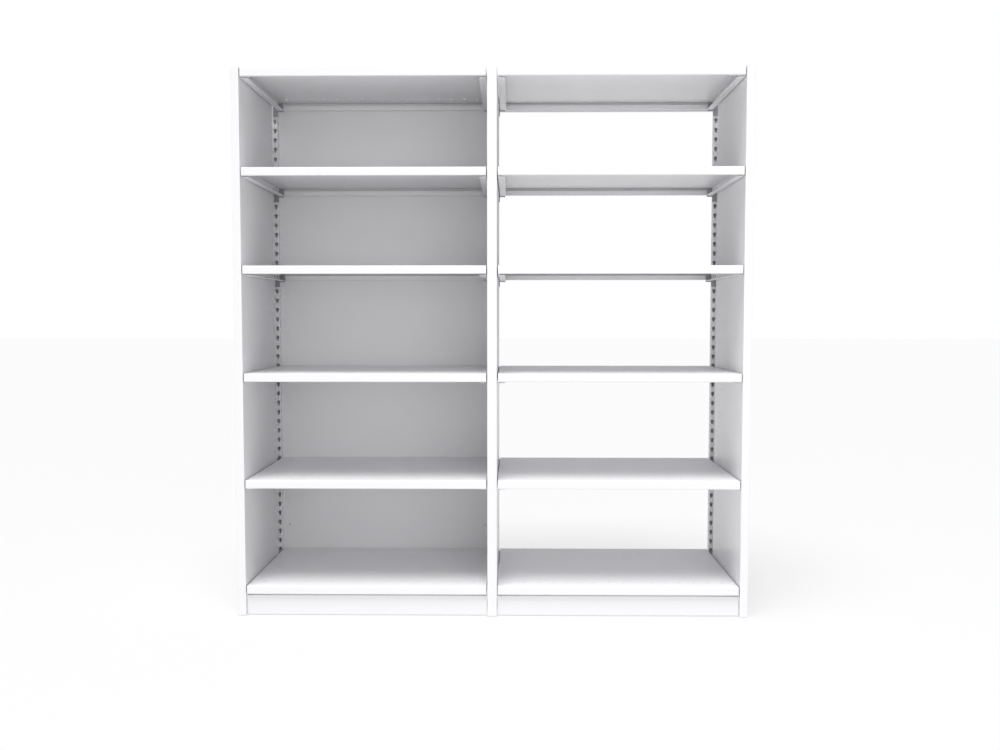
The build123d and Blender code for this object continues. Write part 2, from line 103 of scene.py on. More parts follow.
def keep_place_in_mesh():
    """Move the active object's place, turn and scale into its mesh."""
    bpy.ops.object.transform_apply(location=True, rotation=True, scale=True)


def join_pieces(pieces):
    """Join pieces into the first of them."""
    take_up(pieces[0])
    for piece in pieces:
        piece.select_set(True)
    bpy.ops.object.join()
    return pieces[0]


# %% Pick edges or faces by where they are
def in_edit_mode(piece):
    """Take up a piece, and open its mesh."""
    take_up(piece)
    bpy.ops.object.mode_set(mode="EDIT")


def pick_edges(wanted):
    """In edit mode, select only the edges whose two end points pass the test."""
    bpy.ops.mesh.select_mode(type="EDGE")
    bpy.ops.mesh.select_all(action="DESELECT")
    mesh = bmesh.from_edit_mesh(bpy.context.object.data)
    for edge in mesh.edges:
        edge.select_set(wanted(edge.verts[0].co, edge.verts[1].co))
    bmesh.update_edit_mesh(bpy.context.object.data)


def pick_faces(wanted):
    """In edit mode, select only the faces whose middle and normal pass the test."""
    bpy.ops.mesh.select_mode(type="FACE")
    bpy.ops.mesh.select_all(action="DESELECT")
    mesh = bmesh.from_edit_mesh(bpy.context.object.data)
    for face in mesh.faces:
        face.select_set(wanted(face.calc_center_median(), face.normal))
    bmesh.update_edit_mesh(bpy.context.object.data)


# %% [markdown]
# Fixings come in sets: one part of the model holds all six bolts. To put a new bolt in the
# place of each old one, the next helper finds the separate solids inside a part. It joins
# triangles that share a corner, and returns the box round each group.

# %% Find the separate solids inside a part
def solids_in(node):
    """The lowest and highest corner of each separate solid in a part, in a fixed order."""
    mesh = nodes[node].data
    group_of = {}

    def top(corner):
        while group_of[corner] != corner:
            group_of[corner] = group_of[group_of[corner]]
            corner = group_of[corner]
        return corner

    rounded = [tuple(round(value, 6) for value in vertex.co) for vertex in mesh.vertices]
    for corner in rounded:
        group_of.setdefault(corner, corner)
    for polygon in mesh.polygons:
        first, *others = [rounded[index] for index in polygon.vertices]
        for other in others:
            group_of[top(other)] = top(first)
    groups = {}
    for corner in group_of:
        groups.setdefault(top(corner), []).append(corner)
    boxes = []
    for corners in groups.values():
        low = Vector([min(values) for values in zip(*corners)])
        high = Vector([max(values) for values in zip(*corners)])
        boxes.append((low, high))
    return sorted(boxes, key=lambda box: [round(value, 4) for value in (*box[0], *box[1])])


for node in ("post_caps", "floor_glides", "rail_bolts", "back_panel_screws"):
    print(node, "holds", len(solids_in(node)), "solids")

# %% [markdown]
# ## The camera
# The picture is a calm, nearly frontal one: the camera stands about three and a half metres
# in front of the unit, a little to the right of its middle and about a metre above the
# floor, and looks slightly down and slightly to the left. A 36 mm lens on a 36 mm sensor
# shows a strip as wide as its distance.

# %% Stand the camera in front of the unit
CAMERA_DISTANCE = 3.5207       # from the front of the boards
CAMERA_HEIGHT = 1.072
CAMERA_SIDE = 0.0743
LOOK_DOWN = 0.0581             # radians
LOOK_LEFT = 0.0131
LENS = 36.0                    # millimetres, and the sensor is as wide
FAR_CLIP = 200.0

camera_data = bpy.data.cameras.new("camera")
camera_data.sensor_width = LENS
camera_data.lens = LENS
camera_data.clip_end = FAR_CLIP
camera = bpy.data.objects.new("camera", camera_data)
bpy.context.scene.collection.objects.link(camera)
camera.location = (CAMERA_SIDE, cad_low.y - CAMERA_DISTANCE, CAMERA_HEIGHT)
camera.rotation_euler = (math.pi / 2 - LOOK_DOWN, 0.0, LOOK_LEFT)
bpy.context.scene.camera = camera
print("camera at", [round(value, 3) for value in camera.location])

# %% [markdown]
# ## A high-key studio
# White goods are often shown in a white room. The room itself is seen as pure white, but it
# gives only part of the light, or an open bay would be lit as strongly from behind as from the
# front. A wide softbox in front gives the rest, and one large soft lamp above the front left
# draws the bright strips along the shelves' front edges. The Standard view transform is used,
# because filmic ones turn a white room grey.

# %% A white room
ROOM_LIGHT = (0.975, 0.975, 1.0)
ROOM_STRENGTH = 0.46

scene = bpy.context.scene
scene.view_settings.view_transform = "Standard"
scene.view_settings.look = "None"
room = bpy.data.worlds.new("white_room")
room.use_nodes = True
room_nodes = room.node_tree
light_side = room_nodes.nodes["Background"]
light_side.inputs["Color"].default_value = (*ROOM_LIGHT, 1.0)
light_side.inputs["Strength"].default_value = ROOM_STRENGTH
seen_side = room_nodes.nodes.new("ShaderNodeBackground")
seen_side.inputs["Color"].default_value = (1.0, 1.0, 1.0, 1.0)
ray_kind = room_nodes.nodes.new("ShaderNodeLightPath")
either = room_nodes.nodes.new("ShaderNodeMixShader")
room_nodes.links.new(ray_kind.outputs["Is Camera Ray"], either.inputs[0])
room_nodes.links.new(light_side.outputs[0], either.inputs[1])
room_nodes.links.new(seen_side.outputs[0], either.inputs[2])
room_nodes.links.new(either.outputs[0], room_nodes.nodes["World Output"].inputs["Surface"])
scene.world = room
print("the room gives", ROOM_STRENGTH, "of full light")


# %% A softbox in front, and a soft lamp above
SOFTBOX_WIDTH = 4.0
SOFTBOX_HEIGHT = 3.0
SOFTBOX_POWER = 56.0           # watts
SOFTBOX_PLACE = (0.7, -5.0, 2.0)
SOFTBOX_AIM = (0.0, 0.0, 0.9)
LAMP_STRENGTH = 2.9            # watts on a square metre
LAMP_ANGLE = 37.0              # degrees across, seen from the unit
LAMP_PLACE = (-0.4, -1.3, 4.6)
LAMP_AIM = (0.0, 0.0, 0.0)


def aimed(name, light_data, place, towards):
    """A light at a place, shining towards a point, and never seen itself."""
    light = bpy.data.objects.new(name, light_data)
    light.location = place
    light.rotation_euler = (Vector(towards) - Vector(place)).to_track_quat("-Z", "Y").to_euler()
    light.visible_camera = False
    scene.collection.objects.link(light)


box_data = bpy.data.lights.new("softbox", "AREA")
box_data.shape = "RECTANGLE"
box_data.size = SOFTBOX_WIDTH
box_data.size_y = SOFTBOX_HEIGHT
box_data.energy = SOFTBOX_POWER
aimed("softbox", box_data, SOFTBOX_PLACE, SOFTBOX_AIM)

lamp_data = bpy.data.lights.new("soft_lamp", "SUN")
lamp_data.energy = LAMP_STRENGTH
lamp_data.angle = math.radians(LAMP_ANGLE)
aimed("soft_lamp", lamp_data, LAMP_PLACE, LAMP_AIM)
print("two lights stand in front of the unit")

# %% [markdown]
# ## Node helpers
# A material is a small graph. These two helpers add a node with its settings, and join a
# socket to another or set it to a value, so that each material reads as a short list.

# %% Add and join nodes
def add_node(tree, kind, settings=None, **inputs):
    """Add a node. Inputs are named with _ for each space, and hold a value or a socket."""
    node = tree.nodes.new(kind)
    for name, value in (settings or {}).items():
        setattr(node, name, value)
    for name, value in inputs.items():
        feed(tree, node.inputs[name.replace("_", " ")], value)
    return node


def feed(tree, socket, value):
    """Set a socket to a plain value, or link it to another socket."""
    if isinstance(value, bpy.types.NodeSocket):
        tree.links.new(value, socket)
    else:
        socket.default_value = value


def maths(tree, operation, first, second=0.0, clamp=False):
    """One Math node: operation of first and second."""
    node = tree.nodes.new("ShaderNodeMath")
    node.operation = operation
    node.use_clamp = clamp
    feed(tree, node.inputs[0], first)
    feed(tree, node.inputs[1], second)
    return node.outputs[0]


def per_metre(wave):
    """A texture's scale is how many times it repeats in a metre."""
    return 1.0 / wave


# %% Begin a node group
def begin_group(name, inputs, outputs):
    """A shader node group with plain number inputs and the given outputs."""
    group = bpy.data.node_groups.new(name, "ShaderNodeTree")
    for label, value in inputs.items():
        socket = group.interface.new_socket(
            name=label, in_out="INPUT", socket_type="NodeSocketFloat"
        )
        socket.default_value = value
    for label, kind in outputs.items():
        group.interface.new_socket(name=label, in_out="OUTPUT", socket_type=kind)
    return group, group.nodes.new("NodeGroupInput"), group.nodes.new("NodeGroupOutput")


# %% [markdown]
# ## Shared surface effects
# Three effects turn up in nearly every finish here, so each one is a node group, built once.
# *Sprayed skin* is the gentle dimpling of powder coat, like the skin of an orange, with finer
# grain over it. Bump is enough for it: it is a few hundredths of a millimetre deep.

# %% Sprayed skin
FINE_TIMES = 3.7               # the fine grain's scale against the dimples'

skin_group, entry, leave = begin_group(
    "sprayed_skin", {"Scale": 400.0, "Fine Share": 0.3}, {"Height": "NodeSocketFloat"}
)
place = add_node(skin_group, "ShaderNodeTexCoord").outputs["Object"]
dimples = add_node(
    skin_group, "ShaderNodeTexNoise", Vector=place, Scale=entry.outputs["Scale"],
    Detail=1.0, Roughness=0.45,
)
fine_scale = maths(skin_group, "MULTIPLY", entry.outputs["Scale"], FINE_TIMES)
fine = add_node(
    skin_group, "ShaderNodeTexNoise", Vector=place, Scale=fine_scale, Detail=2.0, Roughness=0.6
)
fine_part = maths(skin_group, "MULTIPLY", fine.outputs["Fac"], entry.outputs["Fine Share"])
height = maths(skin_group, "ADD", dimples.outputs["Fac"], fine_part)
skin_group.links.new(height, leave.inputs["Height"])
print("sprayed_skin:", len(skin_group.nodes), "nodes")

# %% [markdown]
# *Handled* is what hands, cloths and air leave on a smooth surface: broad cloudy changes of
# gloss, with small wiped streaks in them. It puts out a roughness and a mask of cloudiness
# that the colour may use as well.

# %% Handled gloss
MID_NOISE = 0.5                # a noise swings about this value
STREAK_STRETCH = 0.22          # streaks are wiped upright, so they change slowly in z
STREAK_SHARE = 0.45            # against the clouds
SWING_GAIN = 2.0

handled_group, entry, leave = begin_group(
    "handled",
    {"Roughness": 0.4, "Spread": 0.08},
    {"Roughness": "NodeSocketFloat", "Clouds": "NodeSocketFloat"},
)
place = add_node(handled_group, "ShaderNodeTexCoord").outputs["Object"]
clouds = add_node(
    handled_group, "ShaderNodeTexNoise", Vector=place, Scale=per_metre(0.16),
    Detail=3.0, Roughness=0.55, Distortion=0.6,
)
stretched = add_node(
    handled_group, "ShaderNodeMapping", Vector=place, Scale=(1.0, 1.0, STREAK_STRETCH)
)
streaks = add_node(
    handled_group, "ShaderNodeTexNoise", Vector=stretched.outputs["Vector"],
    Scale=per_metre(0.02), Detail=2.0, Roughness=0.6,
)
cloud_part = maths(handled_group, "SUBTRACT", clouds.outputs["Fac"], MID_NOISE)
streak_part = maths(handled_group, "SUBTRACT", streaks.outputs["Fac"], MID_NOISE)
streak_part = maths(handled_group, "MULTIPLY", streak_part, STREAK_SHARE)
both = maths(handled_group, "ADD", cloud_part, streak_part)
swing = maths(handled_group, "MULTIPLY", both, entry.outputs["Spread"])
swing = maths(handled_group, "MULTIPLY", swing, SWING_GAIN)
roughness = maths(handled_group, "ADD", swing, entry.outputs["Roughness"], clamp=True)
handled_group.links.new(roughness, leave.inputs["Roughness"])
handled_group.links.new(clouds.outputs["Fac"], leave.inputs["Clouds"])
print("handled:", len(handled_group.nodes), "nodes")

# %% [markdown]
# *Worn edges* finds sharp edges. The Bevel node gives the normal that a slightly rounded edge
# would have. Where that differs from the true normal there is an edge, and a noise breaks it
# into short touches. The rounded normal is put out as well, because no real edge is perfectly
# sharp, and the soft line of light along an edge is what makes folded sheet look folded.

# %% Worn edges
EDGE_GAIN = 6.0                # how fast the mask rises as the two normals part
TOUCH_FROM = 0.47              # a touch of wear starts at this value of the noise
TOUCH_GAIN = 5.0

wear_group, entry, leave = begin_group(
    "worn_edges",
    {"Width": 0.0006, "Amount": 0.5},
    {"Mask": "NodeSocketFloat", "Normal": "NodeSocketVector"},
)
place = add_node(wear_group, "ShaderNodeTexCoord").outputs["Object"]
rounded_edge = add_node(
    wear_group, "ShaderNodeBevel", {"samples": 4}, Radius=entry.outputs["Width"]
)
true_normal = add_node(wear_group, "ShaderNodeNewGeometry").outputs["Normal"]
likeness = add_node(wear_group, "ShaderNodeVectorMath", {"operation": "DOT_PRODUCT"})
feed(wear_group, likeness.inputs[0], rounded_edge.outputs["Normal"])
feed(wear_group, likeness.inputs[1], true_normal)
unlike = maths(wear_group, "SUBTRACT", 1.0, likeness.outputs["Value"], clamp=True)
unlike = maths(wear_group, "MULTIPLY", unlike, EDGE_GAIN, clamp=True)
touches = add_node(
    wear_group, "ShaderNodeTexNoise", Vector=place, Scale=per_metre(0.009),
    Detail=4.0, Roughness=0.7,
)
touched = maths(wear_group, "SUBTRACT", touches.outputs["Fac"], TOUCH_FROM, clamp=True)
touched = maths(wear_group, "MULTIPLY", touched, TOUCH_GAIN, clamp=True)
mask = maths(wear_group, "MULTIPLY", unlike, touched)
mask = maths(wear_group, "MULTIPLY", mask, entry.outputs["Amount"], clamp=True)
wear_group.links.new(mask, leave.inputs["Mask"])
wear_group.links.new(rounded_edge.outputs["Normal"], leave.inputs["Normal"])
print("worn_edges:", len(wear_group.nodes), "nodes")

# %% [markdown]
# ## A finish from a few numbers
# All the finishes share one layout. Two close colours are mixed by the clouds of *handled*,
# a wear colour shows at the worn edges, *handled* also drives the roughness, and a height
# drives a Bump node. The height differs from finish to finish, so it is built by a small
# function given to the helper. Numbers that are the same all over the surface are set on the
# Principled node's own sockets.

# %% Place a group in a material
def place_group(tree, group, **inputs):
    """Add a node group to a material, with its own values."""
    node = tree.nodes.new("ShaderNodeGroup")
    node.node_tree = group
    for name, value in inputs.items():
        feed(tree, node.inputs[name.replace("_", " ")], value)
    return node


def mix_colours(tree, share, first, second):
    """Mix two colours by a mask. Each colour is a value or a socket."""
    node = tree.nodes.new("ShaderNodeMix")
    node.data_type = "RGBA"
    feed(tree, node.inputs["Factor"], share)
    for socket, colour in ((node.inputs[6], first), (node.inputs[7], second)):
        feed(tree, socket, colour if isinstance(colour, bpy.types.NodeSocket) else (*colour, 1.0))
    return node.outputs[2]


# %% Build a finish
def make_finish(name, light, dark, worn, roughness, spread, relief, relief_depth,
                edge=0.6 * MM, wear=0.4, metallic=0.0):
    """A material. light and dark are close colours, relief builds the bump's height."""
    material = bpy.data.materials.new(name)
    material.use_nodes = True
    tree = material.node_tree
    surface = tree.nodes["Principled BSDF"]
    handled = place_group(tree, handled_group, Roughness=roughness, Spread=spread)
    edges = place_group(tree, wear_group, Width=edge, Amount=wear)
    body_colour = mix_colours(tree, handled.outputs["Clouds"], light, dark)
    colour = mix_colours(tree, edges.outputs["Mask"], body_colour, worn)
    tree.links.new(colour, surface.inputs["Base Color"])
    tree.links.new(handled.outputs["Roughness"], surface.inputs["Roughness"])
    bump = add_node(
        tree, "ShaderNodeBump", Strength=1.0, Distance=relief_depth,
        Height=relief(tree), Normal=edges.outputs["Normal"],
    )
    tree.links.new(bump.outputs["Normal"], surface.inputs["Normal"])
    surface.inputs["Metallic"].default_value = metallic
    material.diffuse_color = (*light, 1.0)
    return material


# %% [markdown]
# ## White powder coat
# Shelves, brackets, posts, kick panels and rails are steel, blasted and powder coated. The
# powder melts into a tough, half-gloss skin with an orange-peel surface. Its waves are about
# two and a half millimetres long. At folded edges the coat thins, and a trace of the grey
# below shows after years of boxes sliding over it.

# %% White powder coat
def sprayed(tree):
    """The height of half-gloss powder coat."""
    skin = place_group(tree, skin_group, Scale=per_metre(2.5 * MM), Fine_Share=0.25)
    return skin.outputs["Height"]


powder_coat = make_finish(
    "white_powder_coat",
    light=(0.855, 0.854, 0.868),
    dark=(0.843, 0.842, 0.857),
    worn=(0.60, 0.60, 0.61),
    roughness=0.42,
    spread=0.10,
    relief=sprayed,
    relief_depth=0.05 * MM,
    wear=0.30,
)
print("made", powder_coat.name)

# %% [markdown]
# ## White laminate and its edge band
# The boards are chipboard under a white melamine laminate. Its surface is pressed with a very
# fine pearl grain. The front edge carries a plastic band that was drawn through a die, so its
# grain is drawn out along the edge, and it is a little glossier than the board.

# %% White laminate
def pearl_grain(tree):
    """The height of pressed melamine."""
    skin = place_group(tree, skin_group, Scale=per_metre(0.9 * MM), Fine_Share=0.6)
    return skin.outputs["Height"]


laminate = make_finish(
    "white_laminate",
    light=(0.856, 0.855, 0.868),
    dark=(0.846, 0.845, 0.859),
    worn=(0.74, 0.735, 0.73),
    roughness=0.36,
    spread=0.12,
    relief=pearl_grain,
    relief_depth=0.018 * MM,
    wear=0.25,
)


# %% Edge band
DRAWN_OUT = 0.02               # along the edge, the grain changes this much as fast


def drawn_grain(tree):
    """The height of a drawn band, in fine upright lines."""
    place = add_node(tree, "ShaderNodeTexCoord").outputs["Object"]
    drawn = add_node(tree, "ShaderNodeMapping", Vector=place, Scale=(1.0, 1.0, DRAWN_OUT))
    lines = add_node(
        tree, "ShaderNodeTexNoise", Vector=drawn.outputs["Vector"],
        Scale=per_metre(0.7 * MM), Detail=2.0,
    )
    return lines.outputs["Fac"]


band_plastic = make_finish(
    "edge_band",
    light=(0.856, 0.855, 0.867),
    dark=(0.847, 0.846, 0.859),
    worn=(0.76, 0.755, 0.75),
    roughness=0.32,
    spread=0.08,
    relief=drawn_grain,
    relief_depth=0.012 * MM,
    wear=0.20,
)
print("made", laminate.name, "and", band_plastic.name)

# %% [markdown]
# ## Dark plated steel
# The hook plates that hang in the keyholes are punched from thick steel, and plated dark.
# Plating grows in small crystals, so its gloss is mottled, and where it rubs on the post its
# edges turn bright.

# %% Dark plated steel
def mottled(tree):
    """The height of plated crystals over a fine grain."""
    place = add_node(tree, "ShaderNodeTexCoord").outputs["Object"]
    crystals = add_node(
        tree, "ShaderNodeTexVoronoi", Vector=place, Scale=per_metre(1.6 * MM), Randomness=1.0
    )
    skin = place_group(tree, skin_group, Scale=per_metre(0.6 * MM), Fine_Share=0.5)
    return maths(tree, "ADD", skin.outputs["Height"], crystals.outputs["Distance"])


dark_steel = make_finish(
    "dark_steel",
    light=(0.46, 0.46, 0.47),
    dark=(0.32, 0.32, 0.33),
    worn=(0.62, 0.62, 0.63),
    roughness=0.44,
    spread=0.22,
    relief=mottled,
    relief_depth=0.025 * MM,
    edge=0.5 * MM,
    wear=0.8,
    metallic=0.85,
)
print("made", dark_steel.name)

# %% [markdown]
# ## Bright zinc
# Screws, bolts, washers and nuts are zinc plated. The plate is bright but never even: it has
# a faint blue or yellow cast in patches, and a fine trace of the tool below it.

# %% Bright zinc
def tooled(tree):
    """The height of a tool's fine trace."""
    place = add_node(tree, "ShaderNodeTexCoord").outputs["Object"]
    trace = add_node(
        tree, "ShaderNodeTexNoise", Vector=place, Scale=per_metre(0.35 * MM), Detail=1.0
    )
    return trace.outputs["Fac"]


zinc = make_finish(
    "bright_zinc",
    light=(0.66, 0.67, 0.69),
    dark=(0.56, 0.55, 0.52),
    worn=(0.78, 0.78, 0.78),
    roughness=0.30,
    spread=0.20,
    relief=tooled,
    relief_depth=0.010 * MM,
    edge=0.3 * MM,
    wear=0.7,
    metallic=1.0,
)
print("made", zinc.name)

# %% [markdown]
# ## Moulded plastics
# Three plastics are left: the white post caps, the natural nylon of the floor glides, and the
# black holders of the kick panel magnets. A mould gives them an even, fine, matt grain.

# %% Moulded plastics
def moulded(tree):
    """The height of a mould's fine grain."""
    skin = place_group(tree, skin_group, Scale=per_metre(0.5 * MM), Fine_Share=0.4)
    return skin.outputs["Height"]


def make_plastic(name, light, dark, roughness):
    """A moulded plastic in two close tones."""
    return make_finish(
        name, light, dark, worn=light, roughness=roughness, spread=0.10,
        relief=moulded, relief_depth=0.02 * MM, edge=0.4 * MM, wear=0.1,
    )


cap_plastic = make_plastic("cap_plastic", (0.78, 0.78, 0.79), (0.76, 0.76, 0.77), 0.46)
glide_nylon = make_plastic("glide_nylon", (0.66, 0.65, 0.61), (0.60, 0.59, 0.55), 0.50)
magnet_black = make_plastic("magnet_black", (0.030, 0.030, 0.032), (0.022, 0.022, 0.024), 0.40)
print("made three plastics")

# %% [markdown]
# ## Give each part its finish
# The record says which slot each part takes its finish from, and the finishes above carry
# the slots' names in the maker's words. One table joins the two.

# %% Give each part its finish
finish_for_slot = {
    "white_powder_coat": powder_coat,
    "white_laminate": laminate,
    "dark_steel": dark_steel,
    "zinc_steel": zinc,
    "cap_plastic": cap_plastic,
    "glide_nylon": glide_nylon,
    "magnet_black": magnet_black,
}
slot_of_node = {row["node"]: row["material_slot"] for row in frame["record"]["subparts"]}
for name, part in nodes.items():
    part.data.materials.clear()
    part.data.materials.append(finish_for_slot[slot_of_node[name]])
print("finished", len(nodes), "parts")

# %% [markdown]
# ## Making new pieces
# A new piece starts as a primitive at its size and place. `slab` makes a box between two
# corners, and `round_edges` bevels the edges that pass a test. `finish_piece` gives a piece
# its material and its body, and hides the part it stands for.

# %% Start from a slab, and round its edges
def slab(name, low, high):
    """A box between two corners, its place in its mesh."""
    start_clean()
    low, high = Vector(low), Vector(high)
    bpy.ops.mesh.primitive_cube_add(size=1.0, location=(low + high) / 2, scale=high - low)
    keep_place_in_mesh()
    piece = bpy.context.object
    piece.name = name
    return piece


def round_edges(piece, wanted, radius, segments=3):
    """Bevel the edges that pass the test."""
    in_edit_mode(piece)
    pick_edges(wanted)
    bpy.ops.mesh.bevel(offset=radius, offset_type="OFFSET", segments=segments, affect="EDGES")
    bpy.ops.object.mode_set(mode="OBJECT")


# %% Finish a piece
SMOOTH_UP_TO = 32.0            # degrees between two faces


def finish_piece(piece, material, slot_name, *stands_for):
    """Smooth a piece, colour it, and let it ride where the part it stands for rides."""
    take_up(piece)
    bpy.ops.object.shade_smooth_by_angle(angle=math.radians(SMOOTH_UP_TO))
    piece.data.materials.clear()
    piece.data.materials.append(material)
    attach(piece, body_of_node[stands_for[0]])
    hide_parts(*stands_for)


# %% [markdown]
# ## The boards
# Each upright is a board with a two-millimetre band glued to its front edge. The band's outer
# edges are rounded so that they don't hurt a hand, and the board's own edges are hardly
# broken at all. Modelled as two pieces, they show the fine seam that a real board has. A box
# is a fair start for both: the work is in which edges are rounded, and by how much.

# %% Boards with edge bands
BAND = 2.0 * MM
BAND_ROUND = 1.2 * MM
TOP_ROUND = 0.7 * MM
SEAM = 0.12 * MM
NEAR = 0.01 * MM


def at_front(edge_y):
    """A test for edges that lie in the plane y = edge_y."""
    return lambda a, b: abs(a.y - edge_y) < NEAR and abs(b.y - edge_y) < NEAR


def upright_at_front(edge_y):
    """A test for the vertical edges in the plane y = edge_y."""
    in_plane = at_front(edge_y)
    return lambda a, b: in_plane(a, b) and abs(a.z - b.z) > BAND


for side in ("left", "centre", "right"):
    low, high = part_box(f"{side}_panel")
    band_back = low.y + BAND
    board = slab(f"{side}_board", (low.x, band_back, low.z), high)
    round_edges(board, at_front(band_back), SEAM, segments=1)
    round_edges(board, at_front(high.y), 2 * SEAM, segments=2)
    finish_piece(board, laminate, "white_laminate", f"{side}_panel")

    band = slab(f"{side}_edge_band", low, (high.x, band_back, high.z))
    round_edges(band, at_front(band_back), SEAM, segments=1)
    round_edges(band, upright_at_front(low.y), BAND_ROUND, segments=5)
    round_edges(
        band,
        lambda a, b: abs(a.z - b.z) < NEAR and max(a.y, b.y) < low.y + NEAR,
        TOP_ROUND,
        segments=4,
    )
    finish_piece(band, band_plastic, "white_laminate", f"{side}_panel")
    print(side, "board", [round(value / MM, 1) for value in high - low], "mm")

# %% [markdown]
# ## Turned pieces
# Bolts, screws and glides are turned. A cylinder is the natural start: its end face is inset
# and pushed out again for each step of the shape, as a lathe would cut it, and rims are
# rounded with a bevel. One helper does a step, so that each piece is a short list of steps.

# %% Step a turned piece
FACES_UP = 0.9                 # a normal's z, at the least
RIM_NEAR = 5 * NEAR


def turned_start(name, radius, length, bottom=0.0, sides=48):
    """An upright cylinder on the z axis, from bottom upwards."""
    start_clean()
    bpy.ops.mesh.primitive_cylinder_add(
        vertices=sides, radius=radius, depth=length, location=(0, 0, bottom + length / 2)
    )
    keep_place_in_mesh()
    piece = bpy.context.object
    piece.name = name
    return piece


def step_up(piece, inset, rise):
    """Inset the top face, then push it up by rise, or down if rise is negative."""
    top_z = max(vertex.co.z for vertex in piece.data.vertices)
    in_edit_mode(piece)
    pick_faces(lambda middle, normal: normal.z > FACES_UP and abs(middle.z - top_z) < NEAR)
    bpy.ops.mesh.inset(thickness=inset, depth=0.0)
    bpy.ops.mesh.extrude_region_move(TRANSFORM_OT_translate={"value": (0, 0, rise)})
    bpy.ops.object.mode_set(mode="OBJECT")


def round_rim(piece, rim_z, rim_radius, radius, segments=3):
    """Round the circular rim at a height and a radius."""
    def on_rim(a, b):
        flat = abs(a.z - rim_z) < NEAR and abs(b.z - rim_z) < NEAR
        off_rim = [abs(math.hypot(point.x, point.y) - rim_radius) for point in (a, b)]
        return flat and max(off_rim) < RIM_NEAR

    round_edges(piece, on_rim, radius, segments)


# %% [markdown]
# A finished pattern piece is copied to each place, each copy with its own mesh, and the
# copies are joined into one set, as they are one part in the model.

# %% Copy a pattern to its places
def set_of(name, pattern, places, turn=(0.0, 0.0, 0.0)):
    """Copies of a pattern at each place, turned alike, joined into one object."""
    copies = []
    for place in places:
        copy = bpy.data.objects.new(f"{name}_copy", pattern.data.copy())
        bpy.context.scene.collection.objects.link(copy)
        copy.location = place
        copy.rotation_euler = turn
        copies.append(copy)
    joined = join_pieces(copies)
    keep_place_in_mesh()
    joined.name = name
    bpy.data.objects.remove(pattern)
    return joined


# %% [markdown]
# ## Floor glides
# Under each board and each post sits a nylon glide: a disc that meets the floor, with its rim
# rounded so that it slides, and a ribbed stem that is pushed up into a bore.

# %% Floor glides
STEM_RADIUS = 4.0 * MM
FOOT_ROUND = 0.8 * MM
DISC_TOP_ROUND = 0.25 * MM
FIRST_RIB = 0.35 * MM          # how far the stem narrows at each rib
NEXT_RIB = 0.2 * MM
RIBS = 3

glide_boxes = solids_in("floor_glides")
glide_low, glide_high = glide_boxes[0]
disc_radius = (glide_high.x - glide_low.x) / 2
disc_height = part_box("left_panel")[0].z - glide_low.z
stem_length = glide_high.z - glide_low.z - disc_height
stem_step = stem_length / (RIBS + 1)

glide = turned_start("glide_pattern", disc_radius, disc_height)
round_rim(glide, 0.0, disc_radius, FOOT_ROUND)
round_rim(glide, disc_height, disc_radius, DISC_TOP_ROUND, segments=2)
step_up(glide, disc_radius - DISC_TOP_ROUND - STEM_RADIUS, stem_step)
for rib in range(RIBS):
    step_up(glide, NEXT_RIB if rib else FIRST_RIB, stem_step)
glide_places = [((low.x + high.x) / 2, (low.y + high.y) / 2, low.z) for low, high in glide_boxes]
glides = set_of("floor_glide_set", glide, glide_places)
finish_piece(glides, glide_nylon, "glide_nylon", "floor_glides")
print(len(glide_places), "glides,", round(disc_radius * 2 / MM, 1), "mm across")

# %% [markdown]
# ## Rail bolts
# The tie rails are held by button-head bolts with a hexagon socket. The head is domed by a
# wide bevel, and the socket is cut with a Boolean modifier, because its six flats don't
# follow the round of the head.

# %% Cut one piece with another
def cut(piece, cutter):
    """Take the cutter's shape out of the piece, then throw the cutter away."""
    take_up(piece)
    boolean = piece.modifiers.new("cut", "BOOLEAN")
    boolean.operation = "DIFFERENCE"
    boolean.solver = "EXACT"
    boolean.object = cutter
    bpy.ops.object.modifier_apply(modifier="cut")
    bpy.data.objects.remove(cutter)


# %% Rail bolts
SHANK_RADIUS = 4.0 * MM
SHANK_TIP_ROUND = 0.8 * MM
HEAD_HEIGHT = 4.2 * MM
HEAD_DOME = 2.4 * MM
HEAD_FOOT_ROUND = 0.3 * MM
SOCKET_RADIUS = 2.9 * MM       # to the corners of the hexagon
SOCKET_DEPTH = 2.4 * MM

bolt_boxes = solids_in("rail_bolts")
bolt_low, bolt_high = bolt_boxes[0]
head_radius = (bolt_high.x - bolt_low.x) / 2
head_top = bolt_high.y - bolt_low.y
shank_length = head_top - HEAD_HEIGHT

bolt = turned_start("bolt_pattern", SHANK_RADIUS, shank_length)
round_rim(bolt, 0.0, SHANK_RADIUS, SHANK_TIP_ROUND, segments=2)
head = turned_start("bolt_head", head_radius, HEAD_HEIGHT, bottom=shank_length)
round_rim(head, head_top, head_radius, HEAD_DOME, segments=7)
round_rim(head, shank_length, head_radius, HEAD_FOOT_ROUND, segments=2)
socket_floor = head_top - SOCKET_DEPTH
cut(head, turned_start("socket", SOCKET_RADIUS, 2 * SOCKET_DEPTH, bottom=socket_floor, sides=6))
bolt = join_pieces([bolt, head])
bolt_places = [((low.x + high.x) / 2, low.y, (low.z + high.z) / 2) for low, high in bolt_boxes]
bolts = set_of("rail_bolt_set", bolt, bolt_places, turn=(-math.pi / 2, 0.0, 0.0))
finish_piece(bolts, zinc, "zinc_steel", "rail_bolts")
print(len(bolt_places), "bolts, heads", round(head_radius * 2 / MM, 1), "mm across")

# %% [markdown]
# ## Back panel screws
# Four small screws hold the back panel to its stiffeners, and their heads show inside the
# bay. Each head is a low dome with a cross cut in it. The cross is two thin slabs.

